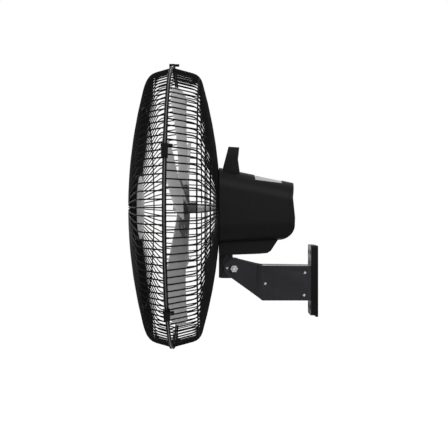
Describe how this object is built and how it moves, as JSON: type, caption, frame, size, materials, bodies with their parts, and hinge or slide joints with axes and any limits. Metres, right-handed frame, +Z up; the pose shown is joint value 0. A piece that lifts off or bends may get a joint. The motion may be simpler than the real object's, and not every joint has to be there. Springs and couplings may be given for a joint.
{
  "type": "wall mounted fan",
  "caption": "Industrial wall fan: a wire-caged metal rotor on an enclosed motor head that tilts on a steel wall arm and swings from side to side.",
  "frame": {"origin": "middle of the wall plate's back face, on the wall", "axes": "+Z up, +X out of the back of the wall plate into the wall, so the fan blows along -X; +Y to the fan's right seen from behind it"},
  "size_m": [0.3693, 0.553, 0.5556],
  "materials": {
    "guard_black": "black satin paint over steel wire",
    "bracket_grey": "dark grey satin paint over sheet steel",
    "housing_black": "black satin moulding",
    "panel_grey": "light grey moulding",
    "blade_metal": "plain pressed sheet",
    "hub_steel": "dark painted steel",
    "zinc": "zinc plated fasteners",
    "shaft_steel": "ground steel",
    "lamination": "varnished steel laminations",
    "copper_coil": "enamelled winding",
    "cast_light": "die cast",
    "badge_black": "blank black disc",
    "washer_dark": "friction material"
  },
  "bodies": {
    "bracket": {"wall_plate": "bracket_grey", "plate_cover": "bracket_grey", "arm_channel": "bracket_grey", "arm_plate_left": "bracket_grey", "arm_plate_right": "bracket_grey", "arm_screws": "zinc", "pivot_bolt": "zinc", "pivot_nut": "zinc", "tilt_stop_screw": "zinc", "friction_washers": "washer_dark"},
    "tilt_neck": {"tilt_lug": "bracket_grey", "swivel_spindle": "shaft_steel", "spindle_nut": "zinc", "thrust_washer": "shaft_steel", "neck_rocker": "hub_steel"},
    "head": {"swivel_block": "cast_light", "saddle_bolts": "zinc", "swing_gearbox": "cast_light", "swing_screws": "zinc", "motor_frame": "cast_light", "motor_front_bell": "cast_light", "motor_rear_bell": "cast_light", "stator_core": "lamination", "stator_windings": "copper_coil", "front_bearing": "shaft_steel", "rear_bearing": "shaft_steel", "capacitor": "badge_black", "capacitor_screw": "zinc", "flange_screws": "zinc", "guard_plate_screws": "zinc", "lower_cover": "housing_black", "housing_shell": "housing_black", "rear_cap": "housing_black", "cap_screws": "zinc", "top_insert": "panel_grey", "carry_handle": "housing_black", "handle_screws": "zinc", "rear_guard_wires": "guard_black", "rear_guard_rings": "guard_black", "front_guard_wires": "guard_black", "front_guard_rings": "guard_black", "rim_band": "guard_black", "guard_clips": "guard_black", "clip_screws": "zinc", "front_badge": "badge_black", "badge_back_plate": "panel_grey", "badge_screws": "zinc"},
    "rotor": {"motor_shaft": "shaft_steel", "rotor_core": "lamination", "blade_hub": "hub_steel", "hub_nut": "zinc", "blade_rivets": "zinc", "blade_1": "blade_metal", "blade_2": "blade_metal", "blade_3": "blade_metal", "blade_4": "blade_metal", "blade_5": "blade_metal"},
    "crank": {"crank_disc": "hub_steel"},
    "link": {"crank_link": "hub_steel"}
  },
  "joints": [
    {"name": "tilt", "type": "hinge", "parent": "bracket", "child": "tilt_neck", "pos_m": [-0.1656, 0, 0.0226], "axis": [0, 1, 0], "range_deg": [-25, 15]},
    {"name": "oscillation", "type": "hinge", "parent": "tilt_neck", "child": "head", "pos_m": [-0.1815, 0, 0.07], "axis": [0, 0, 1], "range_deg": [-40, 40]},
    {"name": "rotor_spin", "type": "hinge", "parent": "head", "child": "rotor", "pos_m": [-0.265, 0, 0.143], "axis": [1, 0, 0], "continuous": true},
    {"name": "crank_turn", "type": "hinge", "parent": "head", "child": "crank", "pos_m": [-0.118, 0, 0.065], "axis": [0, 0, 1], "range_deg": [-91, 91]},
    {"name": "link_swing", "type": "hinge", "parent": "tilt_neck", "child": "link", "pos_m": [-0.16749, -0.0167, 0.0588], "axis": [0, 0, 1], "range_deg": [-41, 41]}
  ],
  "couplings": [
    {"joint": "crank_turn", "follows": "oscillation", "ratio": -2.25},
    {"joint": "link_swing", "follows": "oscillation", "ratio": 1}
  ]
}
